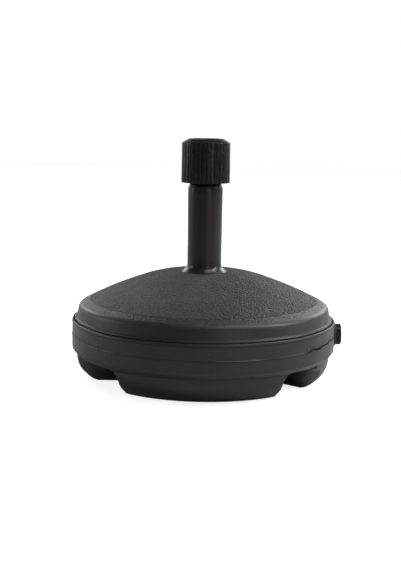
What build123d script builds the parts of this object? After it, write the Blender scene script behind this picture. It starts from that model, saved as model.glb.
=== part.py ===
"""Fillable plastic parasol base. Millimetres, +Z up, origin on the axis at the ground."""
import os
from math import cos, radians, sin

from build123d import *

os.makedirs("parts", exist_ok=True)

WALL = 3.0

# Tank, as radius and height pairs.
BUMPER_R = 200.0
RIDGE_Z = 65.9
HOLE_R = 36.6
SEAT_Z = 157.0
WELL_R = 26.45
WELL_FLOOR_Z = 6.0
UNDERSIDE = [(0, 0), (33, 0), (40, 6), (46, 22), (108, 22), (120, 13), (128.5, 1.5), (131.5, 0)]
FOOT_CURVE = [(164, 0), (171, 1.9), (178.5, 6.6), (185.6, 13.6), (190.2, 22), (192.4, 31), (192.8, 38.6)]
BUMPER = [(194.2, 39.4), (199.3, 45.8), (200, 48.5)]
RIDGE = [(200, RIDGE_Z - 0.7), (200.5, RIDGE_Z), (200, RIDGE_Z + 0.7)]
LEDGE = [(200, 86.6), (199.6, 88.3), (198.4, 89.7), (197.2, 89.9), (196.2, 89.2), (195.5, 90.6),
         (195.2, 91.8), (194.2, 92.9), (193.0, 93.2), (192.5, 94.2)]
SHOULDER = [(190.4, 105.2), (189.4, 108.8), (187.0, 111.6), (183.6, 113.7)]
DOME = [(173, 119.1), (158, 126.4), (140, 134.6), (120, 142.6), (100, 150.0), (90, 153.5),
        (80, 156.3), (70, 158.6), (60, 160.1), (50, 160.9), (HOLE_R + 1.2, 161.2)]
CAVITY_LOW = [(132.5, 3), (164, 3), (176.8, 9), (183.1, 15.6), (187.3, 23.2), (189.4, 31.5), (190, 39.9)]
CAVITY_SIDE = [(197, 46.8), (197, 85.8), (190.5, 90.4), (187.4, 105), (185.6, 109), (182.2, 111)]
CAVITY_INNER = [(46, 25), (109, 25), (122.4, 15.0)]
NECK_CAVITY_R = 39.6

# Hand recesses between the feet, as plan outlines. The second pair is the first turned half round.
RECESS_TOP_Z = 39.0
RECESS_LEFT = [(-215, -53), (-110, -53), (-92, -108.9), (-164.7, -194.9)]
RECESS_RIGHT = [(200, -127.4), (112, -52), (81.8, -104.4), (158.6, -202.3)]
RECESS_CORNER_R = 14.0
RECESS_ROOF_R = 14.0

# Filler neck, cap and gasket, along +X.
FILLER_Z = RIDGE_Z
BOSS_R = 19.0
BOSS_X = 201.6
NECK_INNER_X = 184.0
NECK_R = 14.6
NECK_BORE_R = 11.6
GASKET_X = 201.95
GASKET_T = 1.5
GASKET_R = 15.0
PLUG_R = 10.6
CAP_R = 16.2
CAP_X0 = 202.0
CAP_X1 = 210.8
CAP_FLOOR_X = 203.75
PLUG_X = 189.0

# Stem and the pieces in it.
STEM_R = 26.07
STEM_BORE_R = 23.0
STEM_TOP_Z = 289.0
STEM_FOOT_Z = 8.0
FLANGE_R = 34.7
FLANGE_Z = 157.4
BUSH_Z0, BUSH_Z1 = 12.0, 40.0
BUSH_BORE_R = 16.1
COLLAR_Z0 = 262.0
COLLAR_TOP_Z = 322.0
COLLAR_BORE_R = 20.4
COLLET_Z0, COLLET_Z1 = 312.8, 338.0
COLLET_BORE_R = 19.3
COLLET_R = 22.4
RING_Z0, RING_Z1 = 332.6, 341.0
RING_R = 24.30
NUT_Z0, NUT_Z1 = 295.3, 360.6
NUT_R = 36.5
NUT_BORE_R = 24.36
NUT_CEILING_Z = 341.4
NUT_MOUTH_R = 21.6
FLUTES = 32
SLEEVE_R = 18.9
SLEEVE_BORE_R = 16.1
SLEEVE_Z0, SLEEVE_Z1 = 268.0, 342.2


def turned(outline):
    """Solid of revolution about Z from radius and height pairs."""
    return revolve(make_face(Plane.XZ * Polyline(*outline, close=True)), Axis.Z)


def rod(r, z0, z1):
    return Pos(0, 0, z0) * Cylinder(r, z1 - z0, align=(Align.CENTER, Align.CENTER, Align.MIN))


def x_rod(r, x0, x1):
    """Cylinder along +X on the filler axis."""
    return Pos(0, 0, FILLER_Z) * Rot(0, 90, 0) * rod(r, x0, x1)


def x_turned(outline):
    """Solid of revolution about the filler axis from radius and X pairs."""
    return Pos(0, 0, FILLER_Z) * Rot(0, 90, 0) * turned(outline)


def tank_outline():
    """Face between the axis and the outside of the tank."""
    low = Plane.XZ * Polyline(*UNDERSIDE, FOOT_CURVE[0])
    foot = Plane.XZ * Spline(*FOOT_CURVE, tangents=[(1, 0), (0, 1)])
    side = Plane.XZ * Polyline(FOOT_CURVE[-1], *BUMPER, *RIDGE, *LEDGE, SHOULDER[0])
    shoulder = Plane.XZ * Spline(*SHOULDER, tangents=[(-0.17, 1), (-0.86, 0.5)])
    dome = Plane.XZ * Spline(SHOULDER[-1], *DOME, tangents=[(-0.86, 0.5), (-1, 0)])
    mouth = Plane.XZ * Polyline(DOME[-1], (HOLE_R, 160.2), (HOLE_R, SEAT_Z), (0, SEAT_Z), (0, 0))
    return make_face([low, foot, side, shoulder, dome, mouth])


def cavity_outline():
    """Face of the hollow inside the tank, one wall thickness in."""
    roof = [(r - 1, z - WALL) for r, z in DOME[:-1]]
    return [*CAVITY_INNER, *CAVITY_LOW, *CAVITY_SIDE, *roof, (NECK_CAVITY_R, 158.0), (NECK_CAVITY_R, 154.0),
            (WELL_R + WALL, 154.0), (WELL_R + WALL, 12.0), (37, 12.0)]


def recess(plan, grow, round_roof):
    """Prism of one hand recess; the rounding of its roof runs on along the corners and all three walls."""
    sketch = make_face(Polyline(*plan, close=True))
    inner = sketch.vertices().sort_by(lambda v: v.X ** 2 + v.Y ** 2)[0:2]
    sketch = fillet(inner, RECESS_CORNER_R)
    if grow:
        sketch = offset(sketch, grow, kind=Kind.INTERSECTION)
    prism = Pos(0, 0, -1) * extrude(sketch, RECESS_TOP_Z + 1 + grow)
    if round_roof:
        roof = prism.edges().filter_by(lambda e: e.center().Z > RECESS_TOP_Z - 0.1)
        prism = fillet(roof.sort_by(lambda e: e.center().X ** 2 + e.center().Y ** 2)[0:1], RECESS_ROOF_R)
    return prism


def all_recesses(grow, round_roof):
    prisms = [recess(plan, grow, round_roof) for plan in (RECESS_LEFT, RECESS_RIGHT)]
    prisms += [Rot(0, 0, 180) * p for p in prisms]
    return prisms


def make_tank():
    outer = revolve(tank_outline(), Axis.Z)
    hollow = turned(cavity_outline())
    for prism in all_recesses(0.0, True):
        outer -= prism
    for prism in all_recesses(WALL, False):
        hollow -= prism
    tank = outer - hollow + x_rod(BOSS_R, 195.0, BOSS_X) + x_rod(NECK_R, NECK_INNER_X, BOSS_X)
    tank -= rod(WELL_R, WELL_FLOOR_Z, SEAT_Z + 1)
    tank -= x_rod(NECK_BORE_R, NECK_INNER_X - 1, BOSS_X + 1)
    return tank


def make_gasket():
    return x_rod(GASKET_R, GASKET_X, GASKET_X + GASKET_T) - x_rod(PLUG_R + 0.06, GASKET_X - 1, CAP_X1)


def make_cap():
    """Ribbed disc with a finger bar in a shallow dish, and a ringed plug."""
    cap = x_turned([(0, CAP_X0), (CAP_R - 0.4, CAP_X0), (CAP_R, CAP_X0 + 0.5), (CAP_R - 0.1, CAP_X1 - 1.6),
                    (CAP_R - 1.6, CAP_X1), (0, CAP_X1)])
    cap -= x_rod(CAP_R - 3.2, CAP_X1 - 3.4, CAP_X1 + 1)
    cap += Pos(CAP_X1 - 2.2, 0, FILLER_Z) * Box(2.6, 4.4, 2 * CAP_R - 5)
    cap -= x_rod(GASKET_R + 0.4, CAP_X0 - 1, CAP_FLOOR_X)
    for i in range(36):
        cap -= Pos(0, 0, FILLER_Z) * Rot(10 * i, 0, 0) * Pos(CAP_X0 + 3.6, CAP_R + 0.45, 0) * Box(5.4, 1.6, 1.1)
    cap += x_rod(PLUG_R - 0.6, PLUG_X, CAP_FLOOR_X + 0.5) + x_rod(PLUG_R, GASKET_X - 2, CAP_FLOOR_X + 0.5)
    for i in range(3):
        x = PLUG_X + 1.2 + 3.5 * i
        cap += x_turned([(9.0, x), (PLUG_R - 0.6, x), (PLUG_R + 0.3, x + 0.9), (PLUG_R + 0.3, x + 1.3),
                         (PLUG_R - 0.6, x + 2.2), (9.0, x + 2.2)])
    return cap - x_rod(PLUG_R - 3.0, PLUG_X - 1, CAP_FLOOR_X + 1.0)


def make_stem():
    """Tube with a flared foot flange and a rounded rim."""
    outline = [(STEM_BORE_R, STEM_FOOT_Z), (STEM_R - 0.8, STEM_FOOT_Z), (STEM_R, STEM_FOOT_Z + 2),
               (STEM_R, FLANGE_Z), (FLANGE_R, FLANGE_Z), (FLANGE_R, 160.4), (FLANGE_R - 0.7, 161.2),
               (32.0, 162.6), (29.4, 164.9), (27.4, 167.2), (26.7, 168.6), (STEM_R, 170.2),
               (STEM_R, STEM_TOP_Z - 2.2), (STEM_R - 0.65, STEM_TOP_Z - 0.65), (STEM_R - 2.1, STEM_TOP_Z),
               (STEM_BORE_R, STEM_TOP_Z)]
    return turned(outline)


def make_bush():
    """Ring with a lead-in cone and ribs, low in the stem."""
    bush = turned([(BUSH_BORE_R, BUSH_Z0), (STEM_BORE_R, BUSH_Z0), (STEM_BORE_R, BUSH_Z1),
                   (22.4, BUSH_Z1), (BUSH_BORE_R, BUSH_Z1 - 5)])
    for i in range(12):
        bush -= Rot(0, 0, 30 * i) * Pos(21.0, 0, BUSH_Z0 + 11) * Box(5.2, 6, 26)
    return bush


def make_collar():
    """Insert with a spigot in the stem, a tapered neck, thread rings and a conical seat."""
    collar = turned([(COLLAR_BORE_R, COLLAR_Z0), (STEM_BORE_R, COLLAR_Z0), (STEM_BORE_R, STEM_TOP_Z),
                     (24.8, STEM_TOP_Z), (24.8, STEM_TOP_Z + 1.2), (23.3, NUT_Z0 - 0.8),
                     (23.3, COLLAR_TOP_Z - 1), (22.9, COLLAR_TOP_Z), (22.5, COLLAR_TOP_Z),
                     (COLLAR_BORE_R, 312.5)])
    for i in range(5):
        z = NUT_Z0 + 2.2 + 5.0 * i
        collar += turned([(22.5, z), (23.3, z), (23.98, z + 1.2), (23.98, z + 2.0), (23.3, z + 3.2), (22.5, z + 3.2)])
    return collar


def make_collet():
    """Ring with a cone at each end, one through slit and slots from both ends."""
    collet = turned([(COLLET_BORE_R, COLLET_Z0), (20.2, COLLET_Z0), (COLLET_R, 322.5), (COLLET_R, 328.0),
                     (20.6, 337.2), (20.0, COLLET_Z1), (COLLET_BORE_R, COLLET_Z1)])
    collet -= Rot(0, 0, 30) * Pos(21, 0, 325) * Box(6, 2.4, 40)
    for i in range(1, 6):
        z = 316 if i % 2 else 335
        collet -= Rot(0, 0, 30 + 60 * i) * Pos(21, 0, z) * Box(6, 1.8, 26)
    return collet


def make_thrust_ring():
    return turned([(22.45, RING_Z0), (23.5, RING_Z0), (RING_R, RING_Z0 + 0.8), (RING_R, RING_Z1 - 0.5),
                   (RING_R - 0.5, RING_Z1), (21.1, RING_Z1)])


def make_nut():
    """Fluted cap nut: inner sleeve, cored gap with ribs, sloping shoulder and pole mouth."""
    nut = turned([(NUT_BORE_R, NUT_Z0 + 1), (NUT_BORE_R + 1, NUT_Z0), (NUT_R - 0.6, NUT_Z0),
                  (NUT_R, NUT_Z0 + 0.8), (NUT_R - 0.4, 355.6), (NUT_R - 0.9, 357.0), (34.6, 357.7),
                  (27.0, 360.0), (24.8, NUT_Z1), (23.4, NUT_Z1), (NUT_MOUTH_R, NUT_Z1 - 1.6),
                  (NUT_MOUTH_R, NUT_CEILING_Z), (NUT_BORE_R, NUT_CEILING_Z)])
    cored = turned([(27.6, NUT_Z0 - 1), (32.8, NUT_Z0 - 1), (32.4, 352), (28.0, 352)])
    for i in range(8):
        cored -= Rot(0, 0, 45 * i) * Pos(30, 0, 326) * Box(12, 2.0, 60)
    nut -= cored
    for i in range(FLUTES):
        groove = Pos(NUT_R + 0.5, 0, 0) * rod(1.6, NUT_Z0 - 1, NUT_Z1)
        nut -= Rot(0, 0, 360 / FLUTES * (i + 0.5)) * groove
    return nut


def make_sleeve():
    """Split sleeve with a rim that rests over the collet."""
    sleeve = turned([(SLEEVE_BORE_R, SLEEVE_Z0), (SLEEVE_R - 0.8, SLEEVE_Z0), (SLEEVE_R, SLEEVE_Z0 + 2),
                     (SLEEVE_R, 338.4), (20.6, 338.4), (20.6, SLEEVE_Z1 - 0.8), (19.9, SLEEVE_Z1),
                     (17.2, SLEEVE_Z1), (SLEEVE_BORE_R, SLEEVE_Z1 - 1.1)])
    for i in range(4):
        sleeve -= Rot(0, 0, 90 * i + 15) * Pos(17.5, 0, 300) * Box(5, 1.8, 66)
    return sleeve


PIECES = {
    "tank_shell": make_tank,
    "filler_gasket": make_gasket,
    "filler_cap": make_cap,
    "stem_tube": make_stem,
    "foot_bush": make_bush,
    "threaded_collar": make_collar,
    "split_collet": make_collet,
    "thrust_ring": make_thrust_ring,
    "clamp_nut": make_nut,
    "reducer_sleeve": make_sleeve,
}

for name, make in PIECES.items():
    piece = make()
    solids = piece.solids()
    assert len(solids) == 1, f"{name}: {len(solids)} solids"
    piece = solids[0]
    piece.label = name
    export_step(piece, f"parts/{name}.step")
    box = piece.bounding_box()
    print(f"{name}: {piece.volume / 1000:.1f} cm3, {box.min} {box.max}")
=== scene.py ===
from math import atan2, cos, hypot, pi, radians, sin, tan

import bmesh
import bpy
import numpy as np
from mathutils import Matrix, Vector


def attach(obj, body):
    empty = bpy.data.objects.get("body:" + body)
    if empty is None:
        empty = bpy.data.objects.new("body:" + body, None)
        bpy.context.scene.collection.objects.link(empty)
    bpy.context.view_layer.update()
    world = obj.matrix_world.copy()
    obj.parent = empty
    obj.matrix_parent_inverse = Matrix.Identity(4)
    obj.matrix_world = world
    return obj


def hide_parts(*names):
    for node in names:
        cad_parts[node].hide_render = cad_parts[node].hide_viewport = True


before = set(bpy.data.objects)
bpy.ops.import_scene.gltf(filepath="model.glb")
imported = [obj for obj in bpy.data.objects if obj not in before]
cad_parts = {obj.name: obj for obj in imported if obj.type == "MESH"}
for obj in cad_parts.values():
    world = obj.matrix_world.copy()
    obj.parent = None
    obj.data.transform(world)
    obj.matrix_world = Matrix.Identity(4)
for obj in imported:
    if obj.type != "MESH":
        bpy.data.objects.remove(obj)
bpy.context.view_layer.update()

MM = 0.001

# ---------------------------------------------------------------- sizes, in mm, as in the CAD
RIDGE_Z = 65.9                          # parting line of the tank and axis of the filler neck
HOLE_R, SEAT_Z = 36.6, 157.0            # mouth of the socket, and the seat for the stem's flange in it
WELL_R, WELL_FLOOR_Z = 26.45, 6.0       # the socket below the seat
UNDERSIDE = [(0, 0), (33, 0), (40, 6), (46, 22), (108, 22), (120, 13), (128.5, 1.5), (131.5, 0), (164, 0)]
FOOT = [(164, 0), (171, 1.9), (178.5, 6.6), (185.6, 13.6), (190.2, 22), (192.4, 31), (192.8, 38.6)]
SHOULDER = [(190.4, 105.2), (189.4, 108.8), (187.0, 111.6), (183.6, 113.7)]
DOME = [(183.6, 113.7), (173, 119.1), (158, 126.4), (140, 134.6), (120, 142.6), (100, 150.0), (90, 153.5),
        (80, 156.3), (70, 158.6), (60, 160.1), (50, 160.9), (37.8, 161.2)]
BUMPER_R, CREASE_Z = 200.0, 39.2        # the bumper, and the crease where the lower wall meets it
RIM_Z, BEAD_Z, GROOVE_R = 85.5, 89.6, 196.4    # underside and top of the outer bead, and the groove behind it
RECESS_TOP_Z, RECESS_R = 39.0, 14.0     # roof of the hand recesses, and the radius of their corners
RECESS_LEFT = [(-215, -53), (-110, -53), (-92, -108.9), (-164.7, -194.9)]
RECESS_RIGHT = [(200, -127.4), (112, -52), (81.8, -104.4), (158.6, -202.3)]
NECK_HOLE_R, NECK_R, NECK_BORE_R, NECK_END_X = 17.2, 19.0, 11.6, 201.6
CAP_R, CAP_RIBS, CAP_X0, CAP_X1 = 16.2, 36, 202.0, 210.8
STEM_R, STEM_BORE_R, STEM_TOP_Z, STEM_FOOT_Z = 26.07, 23.0, 289.0, 8.0
FLANGE_R, FLANGE_Z0, FLANGE_Z1 = 34.7, 157.4, 160.9
COLLAR_R, THREAD_R, THREAD_PITCH, THREADS = 23.3, 23.98, 5.0, 5
NUT_Z0, NUT_Z1, NUT_R, NUT_BORE_R = 295.3, 360.6, 36.5, 21.6
FLUTES, FLUTE_R, WEBS = 32, 1.6, 8

# ---------------------------------------------------------------- camera and light
# Places and sizes are in metres, angles in degrees, powers in watts, lens and sensor in mm.
LENS, SENSOR = 70.588, 36.0
CAMERA_PLACE = (0, -1.6566, 0.4101)
CAMERA_PITCH, CAMERA_ROLL, CAMERA_YAW = 9.064, 0.889, -0.184
LIGHT_AIM = Vector((0, 0, 0.15))
WHITE, COOL, COOLER, COOLEST = (1.0, 1.0, 1.0), (0.95, 0.97, 1.0), (0.93, 0.96, 1.0), (0.92, 0.95, 1.0)
LIGHTS = [  # name, azimuth from the front towards +X, elevation, distance, width, height, power, colour
    ("strip_right", 27, 16, 2.6, 0.20, 1.5, 7, WHITE),
    ("box_right", 86, 33, 2.4, 0.5, 1.8, 49, COOLER),
    ("box_left", -97, 16, 2.6, 0.7, 1.1, 14.5, WHITE),
    ("top_right", 95, 56, 2.4, 0.6, 0.6, 13, COOLEST),
    ("back_left", -148, 22, 3.0, 1.2, 0.9, 16, WHITE),
    ("back_right", 146, 22, 3.0, 1.2, 0.9, 25, COOL),
    ("box_top", 65, 74, 2.6, 1.0, 0.8, 16, WHITE),
]
WORLD_DIM, WORLD_BACK, WORLD_SIDES = 0.20, 0.40, 0.85
FLOOR_HALF, FLOOR_GREY, FLOOR_GLOW = 6.0, 0.76, 0.80


# ---------------------------------------------------------------- mesh helpers
def spline(points, n):
    """Catmull-Rom curve through the points, n samples to a span, as an array of pairs."""
    p = np.array(points, float)
    p = np.vstack([2 * p[0] - p[1], p, 2 * p[-1] - p[-2]])
    t = np.linspace(0, 1, n, endpoint=False)[:, None]
    out = []
    for a, b, c, d in zip(p[:-3], p[1:-2], p[2:-1], p[3:]):
        out.append(0.5 * (2 * b + (c - a) * t + (2 * a - 5 * b + 4 * c - d) * t ** 2
                          + (3 * b - a - 3 * c + d) * t ** 3))
    return np.vstack(out + [p[-2:-1]])


def rounded(points, steps=5):
    """Polyline from (x, y) or (x, y, radius) corners, with each radius turned into an arc."""
    pts = [(*q, 0.0)[:3] for q in points]
    out = [pts[0][:2]]
    for (ax, ay, _), (bx, by, r), (cx, cy, _) in zip(pts, pts[1:], pts[2:]):
        b = np.array([bx, by])
        u = np.array([ax, ay]) - b
        v = np.array([cx, cy]) - b
        lu, lv = hypot(*u), hypot(*v)
        if r <= 0 or lu < 1e-9 or lv < 1e-9:
            out.append((bx, by))
            continue
        u, v = u / lu, v / lv
        half = np.arccos(np.clip(u @ v, -1, 1)) / 2
        cut = min(r / tan(half), 0.49 * lu, 0.49 * lv)
        centre = b + (u + v) / max(hypot(*(u + v)), 1e-9) * cut / cos(half)
        p, q = b + u * cut - centre, b + v * cut - centre
        a0, a1 = atan2(p[1], p[0]), atan2(q[1], q[0])
        turn = (a1 - a0 + pi) % (2 * pi) - pi
        rad = hypot(*p)
        out += [tuple(centre + rad * np.array([cos(a0 + turn * k / steps), sin(a0 + turn * k / steps)]))
                for k in range(steps + 1)]
    out.append(pts[-1][:2])
    return np.array(out)


def divided(points, step):
    """The polyline with no run longer than step."""
    out = [np.array(points[0], float)]
    for a, b in zip(points[:-1], points[1:]):
        a, b = np.array(a, float), np.array(b, float)
        n = max(1, int(np.ceil(np.linalg.norm(b - a) / step)))
        out += [a + (b - a) * k / n for k in range(1, n + 1)]
    return np.array(out)


def ramp(value, zero, one):
    """Rises from 0 at the first value to 1 at the second, and stays there."""
    return np.clip((value - zero) / (one - zero), 0, 1)


def bell(value, centre, width):
    """1 at the centre, dying out to both sides."""
    return np.exp(-((value - centre) / width) ** 2)


def fade(value, limit, width):
    """1 well below the limit, 0 well above it."""
    return 1 / (1 + np.exp((value - limit) / width))


def turned(radii, angles, heights):
    """Points from cylinder coordinates."""
    heights = np.broadcast_to(heights, np.shape(angles))
    return np.stack([radii * np.cos(angles), radii * np.sin(angles), heights], 1)


def mesh_object(name, verts, faces, material, sharp=35.0):
    """Object from vertices in mm and faces, welded, with edges over the sharp angle kept sharp."""
    mesh = bpy.data.meshes.new(name)
    mesh.from_pydata([tuple(v) for v in np.asarray(verts) * MM], [], faces)
    bm = bmesh.new()
    bm.from_mesh(mesh)
    bmesh.ops.remove_doubles(bm, verts=bm.verts, dist=2e-6)
    bmesh.ops.dissolve_degenerate(bm, edges=bm.edges, dist=1e-6)
    bmesh.ops.recalc_face_normals(bm, faces=bm.faces)
    for e in bm.edges:
        e.smooth = not (len(e.link_faces) == 2 and e.calc_face_angle(0) > radians(sharp))
    for f in bm.faces:
        f.smooth = True
    bm.to_mesh(mesh)
    bm.free()
    mesh.materials.append(material)
    obj = bpy.data.objects.new(name, mesh)
    bpy.context.scene.collection.objects.link(obj)
    return obj


def ring_faces(rows, cols, closed_rows=False, wrap=True):
    """Quads between rows of points; the last row meets the first, and each row's ends meet, where asked."""
    faces = []
    for i in range(rows if closed_rows else rows - 1):
        for j in range(cols if wrap else cols - 1):
            a, b = i * cols, (i + 1) % rows * cols
            k = (j + 1) % cols
            faces.append((a + j, a + k, b + k, b + j))
    return faces


def lathe(profile, cols, closed=True, radius=None):
    """Vertices and faces of a profile of radius and height turned about Z, shaped by radius(r, z, angles)."""
    ang = np.linspace(0, 2 * pi, cols, endpoint=False)
    rows = [turned(r if radius is None else radius(r, z, ang), ang, z) for r, z in profile]
    return np.vstack(rows), ring_faces(len(profile), cols, closed)


def about_x(verts):
    """Turns a shape built about Z so that it stands about the filler axis, height along +X."""
    return np.stack([verts[:, 2], verts[:, 1], -verts[:, 0] + RIDGE_Z], 1)


def box_mesh(size, bevel):
    """Vertices and faces of a bevelled block about the origin."""
    bm = bmesh.new()
    bmesh.ops.create_cube(bm, size=1.0)
    bmesh.ops.scale(bm, vec=Vector(size), verts=bm.verts)
    bmesh.ops.bevel(bm, geom=bm.edges, offset=bevel, segments=2, affect='EDGES', profile=0.5)
    verts = np.array([v.co for v in bm.verts])
    bm.verts.index_update()
    faces = [tuple(v.index for v in f.verts) for f in bm.faces]
    bm.free()
    return verts, faces


def joined(parts):
    """One list of vertices and faces from several."""
    verts, faces, base = [], [], 0
    for v, f in parts:
        verts.append(v)
        faces += [tuple(i + base for i in q) for q in f]
        base += len(v)
    return np.vstack(verts), faces


# ---------------------------------------------------------------- materials
WARMTH = 0.08
TINT = (1.0, 0.915, 0.935, 1.0)


class Nodes:
    """The node tree of a material or world; each input takes a plain value or another node's output."""

    def __init__(self, owner, shader):
        owner.use_nodes = True
        self.owner = owner
        self.tree = owner.node_tree
        self.shader = self.tree.nodes[shader].inputs

    def set(self, socket, value):
        if isinstance(value, bpy.types.NodeSocket):
            self.tree.links.new(value, socket)
        else:
            socket.default_value = value

    def source(self, name):
        """The output that feeds one of the shader's inputs."""
        return self.shader[name].links[0].from_socket

    def node(self, kind, inputs=None, **props):
        n = self.tree.nodes.new(kind)
        for k, v in props.items():
            setattr(n, k, v)
        for k, v in (inputs or {}).items():
            self.set(n.inputs[k], v)
        return n

    def coordinates(self, kind):
        return self.node("ShaderNodeTexCoord").outputs[kind]

    def stretch(self, vector, scale):
        return self.node("ShaderNodeMapping", {"Vector": vector, "Scale": scale}).outputs["Vector"]

    def noise(self, vector, scale, detail, rough=0.5, distortion=0.0, output="Fac"):
        inputs = {"Vector": vector, "Scale": scale, "Detail": detail, "Roughness": rough,
                  "Distortion": distortion}
        return self.node("ShaderNodeTexNoise", inputs).outputs[output]

    def cells(self, vector, scale, **props):
        return self.node("ShaderNodeTexVoronoi", {"Vector": vector, "Scale": scale}, **props)

    def math(self, op, a, b=0.0):
        return self.node("ShaderNodeMath", {0: a, 1: b}, operation=op).outputs[0]

    def map(self, value, lo, hi, to_lo, to_hi, **props):
        inputs = {"Value": value, "From Min": lo, "From Max": hi, "To Min": to_lo, "To Max": to_hi}
        return self.node("ShaderNodeMapRange", inputs, **props).outputs["Result"]

    def mix(self, fac, a, b, kind='RGBA', **props):
        inputs = {"Factor": fac, "A": a, "B": b}
        return self.node("ShaderNodeMix", inputs, data_type=kind, **props).outputs["Result"]

    def bump(self, height, strength, distance, normal=None):
        n = self.node("ShaderNodeBump", {"Height": height, "Strength": strength, "Distance": distance})
        if normal is not None:
            self.set(n.inputs["Normal"], normal)
        return n.outputs["Normal"]

    def attribute(self, name):
        return self.node("ShaderNodeAttribute", attribute_name=name).outputs["Fac"]

    def is_camera_ray(self):
        return self.node("ShaderNodeLightPath").outputs["Is Camera Ray"]


def grey(v, warm=WARMTH):
    return (v * (1 + warm), v, v * (1 + 0.4 * warm), 1.0)


def moulded(name, colour, rough, spread=0.12, fine=0.25, streak=0.0, dust_and_painted_light=0.5, specular=0.5, even=0.0):
    """Moulded plastic: cloudy colour, uneven gloss, fine skin texture, faint scuffs and dust specks.

    spread is how far the colour varies, fine and streak how deep the skin's grain and draw marks are,
    and even runs from 0, with uneven gloss and scuffs, to 1, with hardly any.
    """
    n = Nodes(bpy.data.materials.new(name), "Principled BSDF")
    place = n.coordinates("Object")
    scuff = n.noise(n.stretch(place, (1, 1, 0.25)), 160, 6, 0.7, 1.5)
    scuff = n.map(scuff, 0.60, 0.78, 0.0, 1 - 0.7 * even)
    cloud = n.map(n.noise(place, 22, 4, 0.6), 0.3, 0.7, 0.0, 1.0)
    base = n.mix(cloud, grey(colour * (1 - spread)), grey(colour * (1 + spread)))
    base = n.mix(n.math('MULTIPLY', scuff, 0.25), base, grey(colour * 2.2))
    speck = n.map(n.cells(place, 95).outputs["Distance"], 0.035, 0.07, 1.0, 0.0)
    dots = n.math('MULTIPLY', speck, n.map(n.noise(place, 31, 2), 0.52, 0.60, 0.0, 1.0))
    n.set(n.shader["Base Color"], n.mix(n.math('MULTIPLY', dots, dust_and_painted_light), base, grey(0.22, 0)))

    shiny, dull = rough - 0.05 + 0.04 * even, rough + 0.07 - 0.05 * even
    gloss = n.map(n.noise(place, 60, 5, 0.65), 0.3, 0.7, shiny, dull)
    n.set(n.shader["Roughness"], n.math('ADD', gloss, n.math('MULTIPLY', scuff, 0.12)))
    skin = n.bump(n.noise(place, 2600, 2), fine, 0.00010)
    if streak:
        skin = n.bump(n.noise(n.stretch(place, (1, 1, 0.03)), 240, 3), streak, 0.0004, skin)
    n.set(n.shader["Normal"], skin)
    n.set(n.shader["Specular IOR Level"], specular)
    n.set(n.shader["Specular Tint"], TINT)
    return n


def tank_plastic():
    """The tank's plastic, by its attributes: pebble grain with painted light and shade by its height, painted
    light on the side feet's recess walls, painted shade in the scars, creases and grooves, satin elsewhere.
    """
    satin = 0.36
    n = moulded("tank_plastic_look", 0.0125, 0.42, fine=0.3, specular=satin)
    grain, painted_shade, dust_and_painted_light = n.attribute("grain"), n.attribute("painted_shade"), n.attribute("dust_and_painted_light")
    place = n.coordinates("Object")
    wander = n.noise(place, 300, 2, output="Color")
    place = n.mix(0.0016, place, wander, kind='VECTOR')
    pebble = n.cells(place, 430, feature='SMOOTH_F1')
    pebble.inputs["Smoothness"].default_value = 0.5
    height = n.math('MULTIPLY', pebble.outputs["Distance"], -0.9)
    height = n.math('ADD', height, n.math('MULTIPLY', n.noise(place, 520, 3, 0.6), 0.8))
    height = n.math('ADD', height, n.math('MULTIPLY', n.noise(place, 230, 2, 0.6), 1.2))
    height = n.math('MULTIPLY', height, grain)
    n.set(n.shader["Normal"], n.bump(height, 1.0, 0.0055, n.source("Normal")))
    n.set(n.shader["Roughness"], n.math('ADD', n.source("Roughness"), n.math('MULTIPLY', grain, 0.14)))

    # Painted light and shade in the grain: the colour darkens in the hollows and lightens on the raised
    # pebbles, by their height.
    painted_grain_shading = n.map(height, 0.35, 1.15, 0.2, 2.8)
    base = n.mix(grain, n.source("Base Color"), painted_grain_shading, blend_type='MULTIPLY')
    # Painted light: the side feet's walls in the recesses are made paler.
    base = n.mix(dust_and_painted_light, base, grey(0.055))
    # Painted shade: the scars, the line under the parting ridge, the crease, the bead's underside and the
    # groove behind it go nearly black.
    base = n.mix(n.math('MULTIPLY', painted_shade, 0.85), base, grey(0.002, 0))
    n.set(n.shader["Base Color"], base)
    shine = n.math('ADD', n.math('MULTIPLY', grain, 0.24), n.math('MULTIPLY', painted_shade, -0.33))
    n.set(n.shader["Specular IOR Level"], n.math('ADD', shine, satin))
    return n.owner


TANK = tank_plastic()
STEM = moulded("stem_plastic_look", 0.0062, 0.29, spread=0.06, fine=0.08, streak=0.04, dust_and_painted_light=0.15,
               specular=0.31, even=0.8).owner
BLACK = moulded("black_plastic_look", 0.0032, 0.26, spread=0.06, fine=0.08, dust_and_painted_light=0.1, specular=0.28,
                even=0.9).owner
COLLET = moulded("collet_plastic_look", 0.50, 0.42, dust_and_painted_light=0.0).owner
RUBBER = moulded("gasket_rubber_look", 0.015, 0.60, fine=0.6, dust_and_painted_light=0.3).owner


# ---------------------------------------------------------------- tank
FOOT_COLUMNS, WALL_ROWS, ROOF_ROWS = 96, 18, 16
BELOW, ABOVE = 32, 40                   # profile points before and after the foot that its rounding may need
FIELD_LOW, FIELD_HIGH, FIELD_STEP = (90.0, -8.0), (206.0, 60.0), 0.4


def line_distance(p, a, b):
    """Distance from a line in plan, positive on its left."""
    a, b = np.array(a, float), np.array(b, float)
    d = (b - a) / np.linalg.norm(b - a)
    return (p[:, 1] - a[1]) * d[0] - (p[:, 0] - a[0]) * d[1]


def round_max(a, b, r):
    """The larger of two distances, with the inner corner rounded to radius r."""
    u, v = np.maximum(a + r, 0), np.maximum(b + r, 0)
    return np.minimum(-r, np.maximum(a, b)) + np.sqrt(u * u + v * v)


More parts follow.
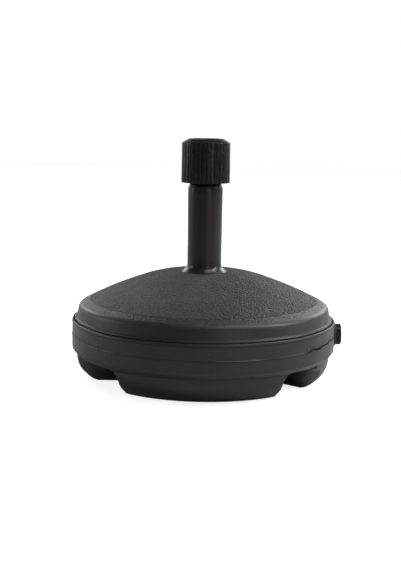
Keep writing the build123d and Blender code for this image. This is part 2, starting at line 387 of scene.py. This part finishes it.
class Recess:
    """A hand recess, open outwards: two straight walls in plan, joined by a third across its inner end."""

    def __init__(self, plan):
        self.plan = plan
        third = np.array([plan[2]])
        self.side = 1.0 if line_distance(third, plan[0], plan[1])[0] < 0 else -1.0
        line = divided(rounded([plan[0], (*plan[1], RECESS_R), (*plan[2], RECESS_R), plan[3]], 12), 0.5)
        rad = np.hypot(line[:, 0], line[:, 1])
        ang = np.unwrap(np.arctan2(line[:, 1], line[:, 0]))
        k = int(rad.argmin())
        self.inner_r = rad[k]
        self.angle = (ang[k] + 2 * pi) % (2 * pi)
        ang += self.angle - ang[k]
        self.branches = (rad[k::-1], ang[k::-1]), (rad[k:], ang[k:])

    def crossings(self, r):
        """The two angles where the circle of radius r leaves the recess, the lower one first."""
        if r <= self.inner_r:
            return self.angle, self.angle
        return sorted(np.interp(r, rad, ang) for rad, ang in self.branches)

    def distance(self, p):
        """Distance to the recess, negative inside it, and how far a point is on its side foot's half."""
        a, b, c = (self.side * line_distance(p, *self.plan[k:k + 2]) for k in range(3))
        flat = round_max(round_max(a, b, RECESS_R), c, RECESS_R)
        return round_max(flat, p[:, 2] - RECESS_TOP_Z, RECESS_R), ramp(a - c, -15, 15)


def all_recesses():
    """The two front recesses and the same turned half round, in order of angle."""
    front = [RECESS_LEFT, RECESS_RIGHT]
    back = [[(-x, -y) for x, y in plan] for plan in front]
    return sorted((Recess(plan) for plan in front + back), key=lambda recess: recess.angle)


def profile_field(line):
    """Signed distance to the turned profile, negative in the plastic, as a function read from a grid."""
    r, z = (np.arange(low, high, FIELD_STEP) for low, high in zip(FIELD_LOW, FIELD_HIGH))
    q = np.stack(np.meshgrid(r, z, indexing="ij"), -1).reshape(-1, 2)
    best = np.full(len(q), np.inf)
    sign = np.ones(len(q))
    for a, b in zip(line[:-1], line[1:]):
        d = b - a
        t = np.clip(((q - a) @ d) / (d @ d), 0, 1)[:, None]
        w = q - (a + t * d)
        dist = np.hypot(w[:, 0], w[:, 1])
        hit = dist < best
        best = np.where(hit, dist, best)
        sign = np.where(hit, np.sign(d[1] * w[:, 0] - d[0] * w[:, 1]), sign)
    table = (best * sign).reshape(len(r), len(z))

    def field(p):
        u = np.clip((np.hypot(p[:, 0], p[:, 1]) - FIELD_LOW[0]) / FIELD_STEP, 0, len(r) - 1.001)
        v = np.clip((p[:, 2] - FIELD_LOW[1]) / FIELD_STEP, 0, len(z) - 1.001)
        i, j = u.astype(int), v.astype(int)
        u, v = u - i, v - j
        return ((table[i, j] * (1 - u) + table[i + 1, j] * u) * (1 - v)
                + (table[i, j + 1] * (1 - u) + table[i + 1, j + 1] * u) * v)

    return field


def round_edges(verts, line, recesses):
    """Moves the points near the recesses on to the surface with its edges rounded, side feet the most."""
    edge, front_extra, side_extra = 0.9, 8.5, 9.0
    pick = np.zeros(len(verts), bool)
    low = verts[:, 2] < 46
    for recess in recesses:
        pick[low] |= np.abs(recess.distance(verts[low])[0]) < 26
    p = verts[pick]
    field = profile_field(line)

    def solid(x):
        """Signed distance to the tank less its recesses; the rounding dies out at the sole and the roof."""
        body = field(x)
        inside = ramp(x[:, 2], RECESS_TOP_Z + 1, RECESS_TOP_Z - 13) * ramp(x[:, 2], -2.5, 8.5)
        full = inside ** 2 * (3 - 2 * inside)
        for recess in recesses:
            gap, side_foot = recess.distance(x)
            body = round_max(body, -gap, edge + (front_extra + side_extra * side_foot) * full)
        return body

    nudge, longest = 0.05, 2.5
    for _ in range(6):
        f = solid(p)
        grad = np.stack([(solid(p + nudge * axis) - f) / nudge for axis in np.eye(3)], 1)
        step = f / np.maximum((grad ** 2).sum(1), 0.2)
        p -= np.clip(step, -longest, longest)[:, None] * grad
    p[:, 2] = np.maximum(p[:, 2], 0.0)
    verts[pick] = p
    return verts


def tank_profile():
    """Radius and height down the outside: underside, foot, bumper, ledge, shoulder, dome, socket.

    Given with the places in it where the foot begins and ends.
    """
    low = divided(rounded([(r, z, 3.0) for r, z in UNDERSIDE]), 3.0)
    foot = spline(FOOT, 8)
    bumper = [(192.8, 38.6), (194.2, CREASE_Z + 0.2, 0.6), (199.3, 45.8, 2.5), (BUMPER_R, 48.5, 4.0),
              (BUMPER_R, RIDGE_Z - 0.7, 0.1), (200.3, RIDGE_Z, 0.25), (BUMPER_R, RIDGE_Z + 0.7, 0.1)]
    beads = [(199.6, RIM_Z - 0.1, 0.4), (200.2, RIM_Z + 1.0, 0.6), (199.5, 89.4, 2.0), (197.0, BEAD_Z, 0.6),
             (196.2, 87.4, 0.4), (195.9, 87.4, 0.4), (195.6, 91.2, 0.5), (194.4, 93.1, 1.4),
             (192.4, 93.2, 0.9)]
    wall = divided(rounded([*bumper, *beads, SHOULDER[0]], 6), 0.9)
    shoulder, dome = spline(SHOULDER, 6), spline(DOME, 10)
    socket = [(37.8, 161.2), (36.6, 160.6, 0.9), (HOLE_R, SEAT_Z, 0.3), (WELL_R + 0.6, SEAT_Z, 0.3),
              (WELL_R, SEAT_Z - 0.8, 0.3), (WELL_R, WELL_FLOOR_Z, 1.5), (0, WELL_FLOOR_Z)]
    rest = divided(rounded(socket), 6.0)
    parts = [low, foot[1:], wall[1:], shoulder[1:], dome[1:], rest[1:]]
    return np.vstack(parts), len(low) - 1, len(low) + len(foot) - 2


def seam_marks(z, ang):
    """Depth of the weld scars where the mould pinched off the plastic, left and right on the parting line."""
    rng = np.random.default_rng(5)
    wobble = np.interp(np.degrees(ang) % 360, np.arange(0, 361, 2), rng.normal(0, 0.35, 181))
    depth = np.zeros_like(ang)
    ends = 41.5
    for centre, lift, rise, right in ((0.0, 0.4, 0.17, 1.0), (180.0, 1.6, 0.15, 0.0)):
        off = np.abs((np.degrees(ang) - centre + 180) % 360 - 180)
        reach = fade(off, ends, 0.35)
        scar_z = RIDGE_Z + lift + rise * np.clip(ends - off, 0, 20) + (1 + 1.5 * right) * wobble
        depth += reach * (0.7 + 1.1 * right) * bell(z, scar_z, 0.7 + 0.5 * right)
        fork_z = RIDGE_Z + 0.6 + 0.43 * np.clip(ends - 2 - off, 0, 19)
        depth -= 0.6 * right * reach * bell(z, fork_z, 0.8) * (off > 20)
        depth += 0.45 * bell(off, ends + 1.1, 0.45) * fade(np.abs(z - RIDGE_Z - 1), 4.0, 0.6)
    from_front = (np.degrees(ang) + 270) % 360 - 180
    depth -= 0.75 * fade(np.abs(from_front - 14), 9.5, 1.0) * bell(z, RIDGE_Z, 0.5)
    return depth


def tank_skin(line, last, recesses, spans, columns):
    """The turned outside, left open in the recesses up to the profile's last point of the foot."""
    even = np.linspace(0, 1, FOOT_COLUMNS + 1)
    eased = 0.35 * even + 0.65 * (0.5 - 0.5 * np.cos(pi * even))
    verts, starts = [], np.cumsum([0, *(n + FOOT_COLUMNS for n in columns)])
    for (r, z), span in zip(line, spans):
        ang = []
        for k, ((lo, hi), n) in enumerate(zip(span, columns)):
            ahead = span[k + 1][0] if k + 1 < len(span) else span[0][0] + 2 * pi
            ang += [lo + (hi - lo) * np.linspace(0, 1, n + 1)[:-1], hi + (ahead - hi) * eased[:-1]]
        ang = np.concatenate(ang)
        on_bumper = 47 < z < 86 and r > 195
        verts.append(turned(r - seam_marks(z, ang) if on_bumper else r, ang, z))

    def opened(i, j):
        return i <= last and any(start <= j < start + n and line[i + 1, 0] > recess.inner_r
                                 for recess, start, n in zip(recesses, starts, columns))

    faces = [f for f in ring_faces(len(line), starts[-1]) if not opened(*divmod(f[0], starts[-1]))]
    return np.vstack(verts), faces


def recess_lining(line, last, recess, rows, span, columns):
    """The wall of a recess, from its edge up to its roof, and the roof out to the profile after the foot."""
    foot_r = line[last, 0]
    edge = [(line[i, 0], span[i][0], line[i, 1]) for i in reversed(rows)]
    inner_z = np.interp(recess.inner_r, line[rows[0] - 1:rows[0] + 1, 0], line[rows[0] - 1:rows[0] + 1, 1])
    edge.append((recess.inner_r, recess.angle, inner_z))
    edge += [(line[i, 0], span[i][1], line[i, 1]) for i in rows]
    rad, ang, bottom = np.array(edge).T
    top = RECESS_TOP_Z - 0.4 * ramp(rad, 186, foot_r)
    wall = [turned(rad, ang, bottom + (top - bottom) * u) for u in np.linspace(0, 1, WALL_ROWS + 1)]

    begin = turned(rad, ang, top)
    lo, hi = span[last + 1]
    end_r, end_z = line[last + 1]
    end = turned(end_r, np.linspace(lo, hi, columns + 1), end_z)
    roof = [begin + (end - begin) * u for u in np.linspace(0, 1, ROOF_ROWS + 1)]
    for row in roof[:-1]:
        row[[0, -1]] = begin[[0, -1]]
    return [(np.vstack(wall), ring_faces(WALL_ROWS + 1, len(rad), wrap=False)),
            (np.vstack(roof), ring_faces(ROOF_ROWS + 1, len(rad), wrap=False))]


def tank_marks(co, recesses):
    """Grain of the dome, painted light on the recess walls of the side feet, and painted shade along the
    scars, the parting ridge, the crease, the bead's underside and the groove, each from 0 to 1.
    """
    rad, z = np.hypot(co[:, 0], co[:, 1]), co[:, 2]
    grain = ramp(rad, 173.3, 172.1) * (z > 110) * ramp(rad, 37.4, 38.4)
    smooth_ring = ramp(z, 112.5, 114.0) * (rad > 160)
    grain = np.maximum(grain, 0.15 * smooth_ring)

    # Painted light: paler colour on the side feet's recess walls, below the roof and towards their outer
    # edge.
    dust_and_painted_light = np.zeros(len(co))
    for recess in recesses:
        gap, side_foot = recess.distance(co)
        dust_and_painted_light = np.maximum(dust_and_painted_light, ramp(np.abs(gap), 15.6, 3.6) * side_foot)
    dust_and_painted_light *= ramp(z, 37, 31) * ramp(rad, 138, 178) * (z > 0.2)

    # Painted shade: darker colour along the weld scars and the line under the parting ridge, then in the
    # crease, under the bead and in the groove behind it.
    bumper = (rad > 195) & (z > 55) & (z < 80)
    depth = seam_marks(z, np.arctan2(co[:, 1], co[:, 0]))
    painted_shade = ramp(depth, 0, 0.8) * bumper
    painted_shade += 0.45 * (depth > -0.1) * bumper * bell(z, RIDGE_Z - 0.7, 0.4)
    crease = (rad > 190) * (rad < 196) * bell(z, CREASE_Z, 0.6)
    rim = (rad > 199) * bell(z, RIM_Z, 0.5)
    groove = (np.abs(rad - GROOVE_R) < 1.0) * ramp(z, BEAD_Z + 1.0, BEAD_Z + 0.2) * (z > 87)
    for dark, mark in ((0.5, crease), (0.7, rim), (0.9, groove)):
        painted_shade = np.maximum(painted_shade, dark * mark)
    return {"grain": grain, "painted_shade": np.clip(painted_shade, 0, 1), "dust_and_painted_light": dust_and_painted_light}


def add_marks(obj, marks):
    for key, value in marks.items():
        layer = obj.data.attributes.new(key, "FLOAT", "POINT")
        layer.data.foreach_set("value", value.astype(np.float32))


def build_tank():
    recesses = all_recesses()
    line, first, last = tank_profile()
    spans = [[recess.crossings(r) for recess in recesses] for r in line[:last + 1, 0]]
    spans += [spans[-1]] * (len(line) - len(spans))
    rows = [[i for i in range(last + 1) if line[i, 0] > recess.inner_r] for recess in recesses]
    columns = [2 * len(r) for r in rows]
    parts = [tank_skin(line, last, recesses, spans, columns)]
    for k, recess in enumerate(recesses):
        parts += recess_lining(line, last, recess, rows[k], [span[k] for span in spans], columns[k])
    verts, faces = joined(parts)
    verts = round_edges(verts, divided(line[first - BELOW:last + ABOVE], 1.5), recesses)

    hole = (np.hypot(verts[:, 1], verts[:, 2] - RIDGE_Z) < NECK_HOLE_R) & (verts[:, 0] > 150)
    faces = [f for f in faces if not all(hole[i] for i in f)]
    tank = mesh_object("tank_body", verts, faces, TANK, 50)
    co = np.array([v.co for v in tank.data.vertices]) / MM
    add_marks(tank, tank_marks(co, recesses))
    return tank


def build_neck():
    x0, step_x = 184.0, 195.0
    boss = rounded([(NECK_BORE_R, x0), (NECK_BORE_R, 200.9, 0.5), (12.2, NECK_END_X, 0.3),
                    (18.6, NECK_END_X, 0.3), (NECK_R, 201.2, 0.3), (NECK_R, step_x), (14.6, step_x),
                    (14.6, x0)], 3)
    v, f = lathe(boss, 96)
    parts = [(about_x(v), f)]
    for x in (188.5, 192.0, 195.5):
        v, f = lathe([(11.7, x), (11.15, x + 0.7), (11.15, x + 1.0), (11.7, x + 1.7)], 96)
        parts.append((about_x(v), f))
    neck = mesh_object("filler_neck", *joined(parts), TANK)
    plain = np.zeros(len(neck.data.vertices))
    add_marks(neck, {"grain": plain, "painted_shade": plain, "dust_and_painted_light": plain})
    return neck


tank, neck = build_tank(), build_neck()
for o in (tank, neck):
    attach(o, "base")
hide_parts("tank_shell")


# ---------------------------------------------------------------- stem and collar
def build_stem():
    foot = rounded([(STEM_BORE_R, STEM_FOOT_Z), (25.4, STEM_FOOT_Z, 0.4), (STEM_R, STEM_FOOT_Z + 2, 0.8),
                    (STEM_R, FLANGE_Z0, 0.3), (FLANGE_R, FLANGE_Z0, 0.4), (FLANGE_R, FLANGE_Z1, 0.9),
                    (32.0, 162.6, 1.5), (29.4, 164.9)], 5)
    flare = spline([(29.4, 164.9), (27.4, 167.2), (26.5, 168.9), (STEM_R, 171.0)], 5)
    top = rounded([(STEM_R, 171.0), (STEM_R, STEM_TOP_Z, 2.1), (STEM_BORE_R + 0.2, STEM_TOP_Z, 0.3),
                   (STEM_BORE_R, STEM_TOP_Z - 0.5), (STEM_BORE_R, STEM_FOOT_Z)], 8)
    v, f = lathe(np.vstack([foot, flare[1:], divided(top, 12.0)[1:-1]]), 144)
    stem = mesh_object("stem", v, f, STEM)
    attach(stem, "stem")
    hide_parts("stem_tube")


def build_collar():
    thread = []
    for i in range(THREADS):
        z = NUT_Z0 + 2.2 + THREAD_PITCH * i
        thread += [(COLLAR_R, z), (THREAD_R, z + 1.2, 0.3), (THREAD_R, z + 2.0, 0.3), (COLLAR_R, z + 3.2)]
    collar = rounded([(20.4, 262.0), (22.98, 262.0, 0.3), (22.98, STEM_TOP_Z), (24.8, STEM_TOP_Z, 0.2),
                      (24.8, STEM_TOP_Z + 1.2, 0.4), (COLLAR_R, NUT_Z0 - 0.8, 0.5), *thread,
                      (COLLAR_R, 321.0, 0.3), (22.9, 322.0, 0.2), (22.5, 322.0), (20.4, 312.5)], 4)
    v, f = lathe(collar, 128)
    o = mesh_object("clamp_collar", v, f, BLACK)
    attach(o, "stem")
    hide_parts("threaded_collar")


build_stem()
build_collar()


# ---------------------------------------------------------------- nut
def from_rib(angles, count, radius):
    """Distance along the rim to the nearest of count places spaced evenly round it."""
    off = angles * count / (2 * pi) % 1.0
    return np.minimum(off, 1 - off) * 2 * pi / count * radius


def build_nut():
    skirt = [(24.36, NUT_Z0 + 1), (25.36, NUT_Z0, 0.2), (27.6, NUT_Z0, 0.3), (28.0, 352, 1.0),
             (32.4, 352, 1.0), (32.8, NUT_Z0, 0.3), (NUT_R, NUT_Z0, 0.7)]
    crown = [(36.3, 355.3, 0.9), (33.6, 356.0, 0.8), (31.5, 357.2, 2.5), (28.0, 359.7, 3.5),
             (24.6, NUT_Z1, 1.5), (23.2, NUT_Z1, 0.8)]
    bore = [(NUT_BORE_R, NUT_Z1 - 1.6, 0.8), (NUT_BORE_R, 341.4, 0.2), (24.36, 341.4, 0.2)]
    profile = rounded(skirt + crown + bore, 6)
    profile = np.vstack([divided(profile, 4.0), profile[:1]])[:-1]

    def fluted(r, z, ang):
        """Round flutes cut into the outside, with slightly domed ribs between them."""
        if r < 34.0 or z < NUT_Z0:
            return np.full(len(ang), r)
        off = from_rib(ang, FLUTES, NUT_R)
        chord = np.sqrt(np.maximum(FLUTE_R ** 2 - off ** 2, 0))
        flute = np.where(off < FLUTE_R, NUT_R + 0.5 - chord, np.inf)
        dome = 0.05 * (1 - np.cos(FLUTES * ang))
        return np.minimum(r - 0.12 + dome, flute) if r > 34.9 else np.minimum(r, flute)

    parts = [lathe(profile, FLUTES * 20, radius=fluted)]
    for i in range(WEBS):
        v, f = box_mesh((5.6, 2.0, 54.0), 0.4)
        a = i * 2 * pi / WEBS + 0.1
        turn = np.array([[cos(a), -sin(a), 0], [sin(a), cos(a), 0], [0, 0, 1]])
        parts.append(((v + np.array([30.2, 0, 324.0])) @ turn.T, f))
    nut = mesh_object("clamping_nut", *joined(parts), BLACK, 40)
    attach(nut, "nut")
    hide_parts("clamp_nut")


build_nut()


# ---------------------------------------------------------------- filler cap
def build_cap():
    cols = CAP_RIBS * 12
    outside = rounded([(15.4, CAP_X0), (CAP_R, CAP_X0, 0.3), (CAP_R - 0.1, CAP_X1, 1.4), (13.0, CAP_X1, 0.6),
                       (12.9, 207.5, 0.5), (0.0, 207.4)], 5)

    def ribbed(r, x, ang):
        """Narrow round grooves down the side."""
        if r < 15.0 or x > 209.4 or x < CAP_X0 + 0.6:
            return np.full(len(ang), r)
        return r - 0.55 * np.clip(1 - (from_rib(ang, CAP_RIBS, CAP_R) / 0.62) ** 2, 0, 1)

    v, f = lathe(divided(outside, 0.8), cols, closed=False, radius=ribbed)
    parts = [(about_x(v), f)]
    thread = []
    for x in (190.2, 193.7, 197.2):
        thread += [(10.0, x), (10.9, x + 0.9, 0.2), (10.9, x + 1.3, 0.2), (10.0, x + 2.2)]
    plug = rounded([(0, 205.0), (7.6, 205.0), (7.6, 189.0, 0.3), (10.0, 189.0, 0.3), *thread,
                    (10.6, 200.0, 0.2), (10.6, 203.75), (15.4, 203.75), (15.4, CAP_X0)], 3)
    v, f = lathe(plug, cols, closed=False)
    parts.append((about_x(v), f))
    v, f = box_mesh((2.9, 4.4, 27.0), 0.9)
    parts.append((v + np.array([209.0, 0, RIDGE_Z]), f))
    cap = mesh_object("filler_screw_cap", *joined(parts), BLACK)
    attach(cap, "cap")
    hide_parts("filler_cap")


build_cap()

for node, material in (("foot_bush", BLACK), ("split_collet", COLLET), ("thrust_ring", COLLET),
                       ("filler_gasket", RUBBER), ("reducer_sleeve", BLACK)):
    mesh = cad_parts[node].data
    mesh.materials.clear()
    mesh.materials.append(material)


# ---------------------------------------------------------------- stage
def build_floor():
    """Pale matt paper that the camera sees as white, with soft shadows on it."""
    corners = [(-FLOOR_HALF, -FLOOR_HALF, 0), (FLOOR_HALF, -FLOOR_HALF, 0), (FLOOR_HALF, FLOOR_HALF, 0),
               (-FLOOR_HALF, FLOOR_HALF, 0)]
    mesh = bpy.data.meshes.new("floor")
    mesh.from_pydata(corners, [], [(0, 1, 2, 3)])
    floor = bpy.data.objects.new("floor", mesh)
    bpy.context.scene.collection.objects.link(floor)
    n = Nodes(bpy.data.materials.new("floor_paper"), "Principled BSDF")
    for name, value in (("Base Color", (FLOOR_GREY, FLOOR_GREY, FLOOR_GREY, 1)), ("Roughness", 0.9),
                        ("Specular IOR Level", 0.1), ("Emission Color", (1, 1, 1, 1)),
                        ("Emission Strength", n.math('MULTIPLY', n.is_camera_ray(), FLOOR_GLOW))):
        n.set(n.shader[name], value)
    mesh.materials.append(n.owner)


def area_light(name, azimuth, elevation, distance, width, height, power, colour):
    a, e = radians(azimuth), radians(elevation)
    away = Vector((cos(e) * sin(a), -cos(e) * cos(a), sin(e)))
    lamp = bpy.data.lights.new(name, 'AREA')
    lamp.shape = 'RECTANGLE'
    lamp.size, lamp.size_y = width, height
    lamp.energy = power
    lamp.color = colour
    o = bpy.data.objects.new(name, lamp)
    o.location = LIGHT_AIM + distance * away
    o.rotation_euler = (-away).to_track_quat('-Z', 'Y').to_euler()
    bpy.context.scene.collection.objects.link(o)


def build_world():
    """Dim all round, brighter low down behind the object and most at its sides; white to the camera."""
    n = Nodes(bpy.data.worlds.new("studio"), "Background")
    bpy.context.scene.world = n.owner
    way = n.node("ShaderNodeSeparateXYZ", {0: n.coordinates("Generated")}).outputs
    smooth = {"interpolation_type": 'SMOOTHSTEP'}
    back = n.map(way["Y"], 0.0, 0.7, 0.0, 1.0, **smooth)
    low = n.map(way["Z"], 0.02, 0.36, 1.0, 0.0, **smooth)
    level = n.map(n.math('ABSOLUTE', way["X"]), 0.04, 0.45, WORLD_BACK, WORLD_SIDES, **smooth)
    glow = n.math('ADD', n.math('MULTIPLY', n.math('MULTIPLY', back, low), level), WORLD_DIM)
    n.set(n.shader["Color"], (1, 1, 1, 1))
    n.set(n.shader["Strength"], n.mix(n.is_camera_ray(), glow, 1.0, kind='FLOAT'))


def build_camera():
    pitch, roll, yaw = radians(CAMERA_PITCH), radians(CAMERA_ROLL), radians(CAMERA_YAW)
    forward = Vector((sin(yaw) * cos(pitch), cos(yaw) * cos(pitch), -sin(pitch)))
    level = Vector((cos(yaw), -sin(yaw), 0))
    upright = level.cross(forward)
    right = cos(roll) * level + sin(roll) * upright
    up = -sin(roll) * level + cos(roll) * upright
    data = bpy.data.cameras.new("camera")
    data.sensor_width, data.lens = SENSOR, LENS
    cam = bpy.data.objects.new("camera", data)
    turn = Matrix((right, up, -forward)).transposed()
    cam.matrix_world = Matrix.Translation(CAMERA_PLACE) @ turn.to_4x4()
    bpy.context.scene.collection.objects.link(cam)
    bpy.context.scene.camera = cam


build_floor()
for light in LIGHTS:
    area_light(*light)
build_world()
build_camera()
bpy.context.scene.view_settings.view_transform = 'Standard'
